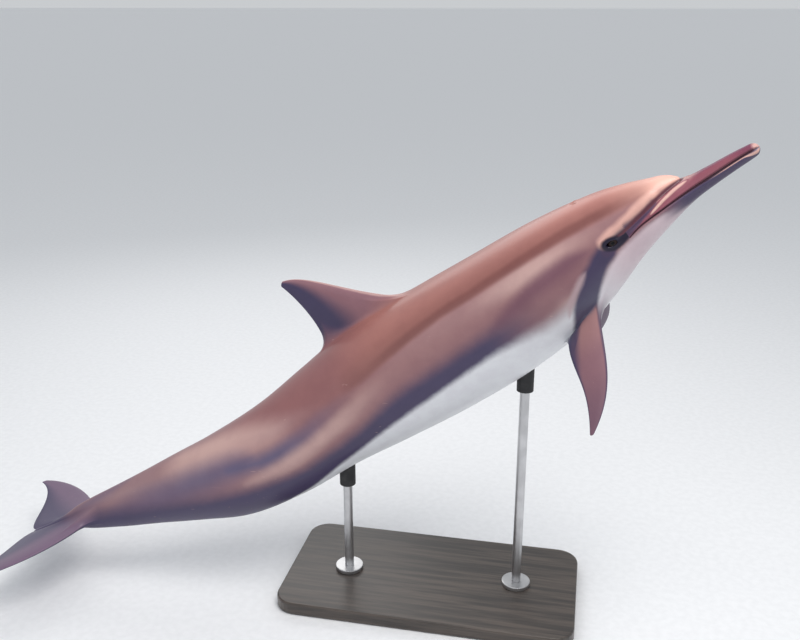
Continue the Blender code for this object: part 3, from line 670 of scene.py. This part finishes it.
def new_material(name, **constants):
    """A material whose shader has these constants on its own sockets, and its tree to draw in."""
    made = bpy.data.materials.new(name)
    made.use_nodes = True
    shader = made.node_tree.nodes["Principled BSDF"]
    for key, value in constants.items():
        shader.inputs[key.replace("_", " ")].default_value = value
    return made, Socket(made.node_tree)


def connect(made, **links):
    """Feed the shader's sockets from the sums and mixes drawn in its tree."""
    shader = made.node_tree.nodes["Principled BSDF"]
    for key, value in links.items():
        made.node_tree.links.new(value.link, shader.inputs[key.replace("_", " ")])


paint, draw = new_material("dolphin_paint", Coat_Weight=0.22, Coat_Roughness=0.18, Specular_IOR_Level=0.35)
place = draw.stretched((1, 1, 1))
lie = {name: draw.attribute(name) for name in layout}
wander = (draw.noise(place, 9.0, 4.0) - 0.5) * 0.030      # soft wandering of every painted edge
fray = (draw.noise(place, 42.0, 6.0, 0.68) - 0.5) * 0.007
mottle = draw.noise(place, 24.0, 5.0, 0.6)
cloud = draw.noise(place, 5.0, 3.0)


def drawn(line, outer, inner, strength):
    """Share of a drawn line's colour: all of its strength within inner metres, none beyond outer."""
    return (lie[line] + wander * 0.35 + fray * 0.6).step(outer, inner) * strength


# Flank: paler patches and a pale streak, with soft dark lines beside them; greyer on the tail stock.
along = lie["station"]
colour = (cloud.step(0.35, 0.68) * 0.16).blend(FLANK, FLANK_LIGHT)
colour = drawn("saddle", 0.085, 0.0, 0.60).blend(colour, CAPE_LOIN)
colour = (along.step(1.36, 1.62) * 0.55).blend(colour, STOCK_GREY)
colour = (lie["pale"].step(0.0, 1.1) * 0.80).blend(colour, FLANK_LIGHT)
colour = drawn("tail_light", 0.095, -0.010, 0.72).blend(colour, FLANK_LIGHT)
colour = drawn("tail_dark", 0.060, 0.0, 0.80).blend(colour, STOCK_DARK)
# Painted shadow beside the tail stock's keel, where it runs down towards the flukes.
colour = drawn("keel_shadow", 0.030, 0.0, 0.55).blend(colour, STOCK_DARK)
colour = drawn("flank_dark", 0.030, 0.002, 0.85).blend(colour, FLANK_SHADE)
colour = (drawn("under_streak", 0.034, 0.002, 0.90) * along.step(0.94, 1.26)).blend(colour, STOCK_DARK)
colour = (drawn("streak", 0.026, 0.001, 0.85) * along.step(0.82, 1.12)).blend(colour, FLANK_LIGHT)

# Cape: bright on the melon and at its front, partly paler skin and partly a painted highlight from above;
# browner behind, and darkest along its lower edge, which is painted shade where the side turns from the
# light.
cape_colour = along.step(0.56, 0.24).blend(CAPE, CAPE_HIGHLIGHT)
cape_colour = (along.step(0.30, 0.17) * 0.85).blend(cape_colour, MELON_HIGHLIGHT)
cape_colour = (along.step(0.84, 1.04) * 0.85).blend(cape_colour, CAPE_LOIN)
cape_colour = (along.step(1.20, 1.60) * 0.7).blend(cape_colour, STOCK_GREY)
cape_edge = (lie["cape"] + wander * 0.4 + fray) * (1 - along.step(1.02, 1.20) * 0.65)
colour = cape_edge.step(-0.012, 0.014).blend(colour, cape_colour)
# Painted shade along the cape's lower edge: a soft broad band, then a darker narrow line.
colour = (drawn("stripe", 0.060, 0.006, 0.50) * lie["cape"].step(-0.012, 0.004)).blend(colour, CAPE_EDGE_SHADE)
near_cape_shade = along.step(0.225, 0.32) * along.step(0.98, 0.80)
colour = (drawn("stripe", 0.018, 0.003, 0.80) * near_cape_shade).blend(colour, CAPE_EDGE_SHADE)

# The dark band below the flank, which takes in the whole underside of the tail stock, and the belly. The band
# is partly the animal's darker lower flank and partly painted shade of the body's lower side, with a softer
# painted shade above it.
colour = ((lie["band"] + wander * 0.4).step(-0.055, 0.0) * 0.42).blend(colour, FLANK_SHADE)
band = (lie["band"] + wander * 0.3 + fray).step(-0.028, 0.006) * along.step(0.48, 0.66)
colour = band.blend(colour, BAND_DARK_AND_SHADE)
# Under the beak the lower jaw is dark, partly its own colour and partly painted shade.
under = along.step(0.21, 0.12).blend(along.step(0.46, 0.28).blend(BELLY, THROAT), JAW_DARK_AND_SHADE)
by_flipper = along.step(0.72, 0.52) * along.step(0.30, 0.38)
belly_edge = (lie["belly"] + wander * 0.3 + fray) * (1 - by_flipper * 0.65)
colour = belly_edge.step(-0.006, 0.012).blend(colour, under)

# Side of the head: eye-to-flipper stripe, the dark wedge from the crease to the eye, and the brow. The wedge,
# darkest round the eye, is partly the animal's dark eye band and eye patch and partly painted shade under the
# overhanging brow; the brow's ridge carries a painted highlight.
colour = drawn("eye_stripe", 0.026, 0.011, 0.94).blend(colour, EYE_STRIPE_DARK)
colour = drawn("axilla", 0.012, 0.000, 0.85).blend(colour, AXILLA_PALE)
under_brow_mask = (lie["wedge"] + along.step(0.29, 0.20) * 0.007 + fray * 0.5).step(0.016, 0.008)
# Painted shade under the brow, over the dark band from the crease to the eye.
colour = (under_brow_mask * 0.95).blend(colour, WEDGE_DARK_AND_SHADE)
# Painted highlight along the brow's ridge.
colour = drawn("brow", 0.015, 0.002, 0.66).blend(colour, MELON_HIGHLIGHT)
# Darkest round the eye: the eye patch, deepened by painted shade under the brow.
colour = (lie["eye_wedge"] + fray * 0.4).step(0.0150, 0.0060).blend(colour, EYE_DARK)

# Beak: its upper jaw ends at the crease; darker along its top edge, which is painted shade, and towards the
# tip; a pale tip, a pale swollen lip beside the crease and a pale lower lip, all painted highlights; a dark
# mouth line.
ahead = lie["ahead"]
above_mouth = lie["mouth"].step(0.001, -0.001)
# Painted shade along the beak's top edge, then darker towards the tip.
beak = (lie["angle"].step(44, 12) * 0.7).blend(BEAK, BEAK_DARK)
beak = (along.step(0.060, 0.020) * 0.5).blend(beak, BEAK_DARK)
# Painted highlights on the lip ridges and on the tip.
beak = (ahead.step(0.045, 0.004) * lie["angle"].step(80, 50) * 0.6).blend(beak, BEAK_HIGHLIGHT)
beak = (lie["upper_lip"] + fray * 0.3).step(0.0105, 0.0065).blend(beak, BEAK)
beak = (lie["upper_lip"] + fray * 0.3).step(0.0060, 0.0020).blend(beak, BEAK_HIGHLIGHT)
beak = (along.step(0.013, 0.003) * 0.85).blend(beak, BEAK_HIGHLIGHT)
colour = (ahead.step(-0.0005, 0.0010) * above_mouth).blend(colour, beak)
# The painted shade under the brow again, laid over the beak's colour.
colour = (under_brow_mask * above_mouth * 0.9).blend(colour, WEDGE_DARK_AND_SHADE)
# The lower jaw below the mouth line: dark, partly its own colour and partly painted shade under the beak.
lower_jaw = lie["mouth"].step(-0.001, 0.001) * along.step(0.22, 0.15)
colour = (lower_jaw * lie["mouth"].step(0.030, 0.018)).blend(colour, JAW_DARK_AND_SHADE)
above_line = (lie["mouth"] + 0.0018).math("ABSOLUTE", lie["mouth"] + 0.0018)
off_tip = along.step(0.006, 0.016)
colour = (above_line.step(0.0042, 0.0014) * along.step(0.25, 0.21) * off_tip * 0.85).blend(colour, LIP_MAROON_AND_CREASE_SHADE)
# Painted highlight along the lower lip near the tip.
colour = (lie["lower_lip"].step(0.0, 0.7) * along.step(0.11, 0.06)).blend(colour, BEAK_HIGHLIGHT)
at_line = lie["mouth"].math("ABSOLUTE", lie["mouth"])
colour = (at_line.step(0.0019, 0.0006) * off_tip).blend(colour, LIP_DARK)
# Painted shade in the crease under the melon.
colour = (lie["crease"] + fray * 0.2).step(0.0038, 0.0010).blend(colour, LIP_MAROON_AND_CREASE_SHADE)
colour = (lie["eye"] + fray * 0.4).step(0.018, 0.011).blend(colour, EYE_DARK)
colour = (lie["slit"].step(0.0030, 0.0010) * 0.8).blend(colour, FLANK_SHADE)

# Fins: rose-brown, darkening to blue-purple at their tips and trailing edges; the darker undersides, and the
# darker trailing half of each flipper near its root, are painted shade. Only the back fin's leading edge is
# pale; the flippers' is dark.
chord, span = lie["chord"] + fray * 3, lie["span"]
colour = (along.step(1.80, 1.85) * lie["angle"].step(100, 80)).blend(colour, FLUKE_DARK)
dorsal = (chord + span * 0.35).step(0.38, 0.78).blend(FIN, FIN_DARK)
dorsal = chord.step(0.05, 0.01).blend(dorsal, FIN_EDGE)
flipper = span.step(0.50, 0.20).blend(FIN, FIN_ROOT)
# Painted shade on the trailing half of the flipper near its root.
flipper = ((chord - span * 0.9).step(0.30, 0.62) * 0.9).blend(flipper, FIN_DARK)
flipper = (span.step(0.50, 0.95) * 0.35).blend(flipper, FIN_DARK)
flipper = (chord.step(0.90, 0.98) * 0.8).blend(flipper, FIN_DARK)
flipper = (chord.step(0.07, 0.01) * 0.8).blend(flipper, FIN_DARK)
# Painted shade on the flipper's underside.
flipper = (lie["underside"].step(0.4, 0.9) * 0.75).blend(flipper, FIN_DARK)
fluke = (chord - span * 0.62).step(0.05, 0.50).blend(FLUKE_ROSE, FLUKE_DARK)
fluke = (chord.step(0.88, 0.97) * 0.8).blend(fluke, FIN_DARK)
# Painted shade on the fluke's underside.
fluke = lie["underside"].step(0.35, 0.65).blend(fluke, FIN_DARK)
colour = lie["dorsal"].blend(colour, dorsal)
colour = lie["flipper"].blend(colour, flipper)
colour = lie["fluke"].blend(colour, fluke)

# Fine flecks and short pale scratches, as on a grown animal's skin.
tint = draw.node("Mix", {"data_type": "RGBA", "blend_type": "MULTIPLY"},
                 {0: mottle.step(0.62, 0.35) * 0.20, 6: colour, 7: (.72, .66, .72, 1)}, output=2)
streaks = draw.noise(draw.node("Mapping", (), {"Vector": place, "Scale": (14, 260, 170),
                                               "Rotation": (0.2, 0.65, 0.3)}), 1.0, 2.0)
scratch = streaks.step(0.71, 0.745) * cloud.step(0.50, 0.60)
tint = (scratch * 0.35).blend(tint, FLANK_LIGHT)
grain = draw.noise(place, 420.0, 2.0) * 0.25 + mottle * 0.5 + scratch * 0.25
relief_node = draw.node("Bump", (), {"Strength": 0.35, "Distance": 0.0012, "Height": grain})
connect(paint, Base_Color=tint, Roughness=mottle * 0.14 + 0.34 + scratch * 0.1, Normal=relief_node)
skin.data.materials.append(paint)

# ================================================================ eyes
# Cast glass eyes, one on each side, set in their sockets from inside: almost black-brown with a
# darker pupil, and polished, so that a single light shows in them.
EYE_NODES = {-1: "eye_right", 1: "eye_left"}
EYE_RINGS, EYE_SEGMENTS = 24, 40                # rings of points between the poles, points in a ring
PUPIL, IRIS, EYE_RIM = (.002, .002, .003, 1), (.022, .012, .011, 1), (.012, .008, .012, 1)


def eyeball(side):
    """An ellipsoid: longitude round the axis that looks outwards, latitude from its front to its back."""
    latitude = np.linspace(0, math.pi, EYE_RINGS + 2)[1:-1, None]
    longitude = np.linspace(0, 2 * math.pi, EYE_SEGMENTS + 1)[None, :-1]
    ball = np.stack(np.broadcast_arrays(np.sin(latitude) * np.cos(longitude), side * np.cos(latitude),
                                        np.sin(latitude) * np.sin(longitude)), -1).reshape(-1, 3)
    ball = np.concatenate([ball, [(0, side, 0), (0, -side, 0)]])
    out = curve(np.array([EYE_STATION]), LINES, 3)[0] - EYE_SIZE[1] + EYE_PROUD
    return ball * EYE_SIZE + (EYE_STATION, side * out, 0)


for side, node in EYE_NODES.items():
    ball = bend(eyeball(side))
    at = np.arange(EYE_RINGS * EYE_SEGMENTS).reshape(EYE_RINGS, EYE_SEGMENTS)
    next_round = np.roll(at, -1, axis=1)
    front_pole, back_pole = np.full(EYE_SEGMENTS, at.size), np.full(EYE_SEGMENTS, at.size + 1)
    faces = np.stack([at[:-1], at[1:], next_round[1:], next_round[:-1]], -1).reshape(-1, 4)
    ends = np.concatenate([np.stack([at[0], next_round[0], front_pole], -1),
                           np.stack([next_round[-1], at[-1], back_pole], -1)])
    if side < 0:
        faces, ends = faces[:, ::-1], ends[:, ::-1]
    eye, _ = mesh_object(node + "_glass", ball, faces, ends)
    glass, draw = new_material(node + "_glass", Roughness=0.10, Coat_Weight=0.1, Coat_Roughness=0.03,
                               Specular_IOR_Level=0.15)
    low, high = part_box(node)
    middle = (low + high) / 2
    place = draw.node("TexCoord", output=3)
    front = middle + Vector((0, side * EYE_SIZE[1], 0))
    away = draw.node("VectorMath", {"operation": "DISTANCE"}, {0: place, 1: tuple(front)}, output=1)
    ray = draw.noise(place, 900.0, 3.0)
    colour = (away + ray * 0.0015).step(0.0040, 0.0060).blend(PUPIL, IRIS)
    colour = away.step(0.0085, 0.0115).blend(colour, EYE_RIM)
    connect(glass, Base_Color=colour)
    eye.data.materials.append(glass)
    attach(eye, "root")
    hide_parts(node)

# ================================================================ stand: base board
# A plain board with rounded corners and edges, which lies flat and carries both flanges. It is of
# stained oak veneer under satin lacquer, with the grain along it.
board, draw = new_material("stained_board", Coat_Weight=0.25, Coat_Roughness=0.25)
grain = draw.noise(draw.stretched((1.2, 26.0, 26.0)), 3.0, 6.0, 0.62)
pore = draw.noise(draw.stretched((14.0, 520.0, 520.0)), 1.0, 3.0)
wood = grain.step(0.36, 0.66).blend((.030, .024, .021, 1), (.085, .066, .055, 1))
wood = (pore.step(0.58, 0.70) * 0.55).blend(wood, (.016, .013, .012, 1))
rough = draw.node("Bump", (), {"Strength": 0.25, "Distance": 0.0006, "Height": grain * 0.4 - pore * 0.6})
connect(board, Base_Color=wood, Roughness=grain * 0.18 + 0.30, Normal=rough)


def refinish(start, finish):
    """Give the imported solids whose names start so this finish."""
    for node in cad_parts:
        if node.startswith(start):
            for slot in bpy.data.objects[node].material_slots:
                slot.material = finish


refinish("stand_base", board)

# ================================================================ stand: rods and flanges
# Brushed stainless steel. The rods are brushed lengthwise, and each is screwed into a turned flange,
# which is fixed to the board.
steel, draw = new_material("brushed_steel", Metallic=1.0)
brush = draw.noise(draw.stretched((900.0, 900.0, 18.0)), 1.0, 3.0)
smear = draw.noise(draw.stretched((1, 1, 1)), 22.0, 3.0)
tone = smear.step(0.35, 0.7).blend((.50, .50, .51, 1), (.62, .62, .63, 1))
score = draw.node("Bump", (), {"Strength": 0.18, "Distance": 0.0003, "Height": brush})
connect(steel, Base_Color=tone, Roughness=brush * 0.16 + smear * 0.08 + 0.22, Normal=score)
refinish("stand_rod", steel)
refinish("stand_flange", steel)

# ================================================================ stand: collars
# Moulded black rubber with a fine matt texture: one sits on each rod, and its upper face is cut to the
# belly, which rests in it.
rubber, draw = new_material("black_rubber", Specular_IOR_Level=0.4)
fine = draw.noise(draw.stretched((1, 1, 1)), 700.0, 3.0)
dust = draw.noise(draw.stretched((1, 1, 1)), 40.0, 4.0)
tone = dust.step(0.4, 0.75).blend((.022, .022, .024, 1), (.045, .044, .045, 1))
stipple = draw.node("Bump", (), {"Strength": 0.3, "Distance": 0.0004, "Height": fine})
connect(rubber, Base_Color=tone, Roughness=dust * 0.2 + 0.55, Normal=stipple)
refinish("stand_collar", rubber)

# ================================================================ floor, light and camera
# A wide pale studio floor under soft lamps: the main one high in front, a broad fill from the camera's
# side and a rim from behind. The camera looks slightly down on the right side of the dolphin.
FLOOR_REACH, FLOOR_DROP, FLOOR_CELLS = 300.0, 0.0005, 8        # from the middle, below the base, each way
u, v = np.meshgrid(*[np.linspace(-FLOOR_REACH, FLOOR_REACH, FLOOR_CELLS + 1)] * 2, indexing="ij")
sheet = np.stack([u, v, 0 * u - FLOOR_DROP], -1).reshape(-1, 3)
at = np.arange(u.size).reshape(u.shape)
cells = np.stack([at[:-1, :-1], at[1:, :-1], at[1:, 1:], at[:-1, 1:]], -1).reshape(-1, 4)
floor, _ = mesh_object("floor", sheet, cells, np.zeros((0, 3), dtype=int))
cover, draw = new_material("floor_paint", Roughness=0.75)
speck = draw.noise(draw.stretched((1, 1, 1)), 60.0, 3.0)
connect(cover, Base_Color=speck.step(0.3, 0.7).blend((.83, .84, .86, 1), (.87, .88, .90, 1)))
floor.data.materials.append(cover)

world = bpy.data.worlds.new("studio")
bpy.context.scene.world = world
world.use_nodes = True
sky = world.node_tree.nodes["Background"]
sky.inputs["Color"].default_value = (.94, .97, 1, 1)
sky.inputs["Strength"].default_value = 0.62

# The point near the model's middle that the lamps and the camera face.
AIM = Vector(BODY_AT) + Vector((-0.0683, -0.0491, 0.0816))


def lamp(name, place, size, power, colour):
    """A square soft lamp at this place from the aim, turned to it."""
    data = bpy.data.lights.new(name, "AREA")
    data.size, data.energy, data.color = size, power, colour
    made = bpy.data.objects.new(name, data)
    made.location = AIM + Vector(place)
    made.rotation_euler = (AIM - made.location).to_track_quat("-Z", "Y").to_euler()
    bpy.context.collection.objects.link(made)


lamp("main", (0.7, -0.7, 2.3), 1.6, 48, (1, .97, .94))
lamp("fill", (-1.6, -2.6, 1.2), 2.4, 12, (.96, .97, 1))
lamp("rim", (-1.2, 2.2, 1.6), 1.8, 16, (1, .98, .96))

CAMERA_AZIMUTH, CAMERA_ELEVATION, CAMERA_AWAY, CAMERA_LENS = 11.89, 19.1, 2.0, 41.08
lens = bpy.data.cameras.new("camera")
lens.lens, lens.sensor_width = CAMERA_LENS, 36.0
camera = bpy.data.objects.new("camera", lens)
turned, raised = math.radians(CAMERA_AZIMUTH), math.radians(CAMERA_ELEVATION)
camera.location = AIM + CAMERA_AWAY * Vector((math.sin(turned) * math.cos(raised),
                                              -math.cos(turned) * math.cos(raised), math.sin(raised)))
camera.rotation_euler = (math.pi / 2 - raised, 0, turned)
bpy.context.collection.objects.link(camera)
bpy.context.scene.camera = camera
bpy.context.scene.view_settings.view_transform = "Standard"
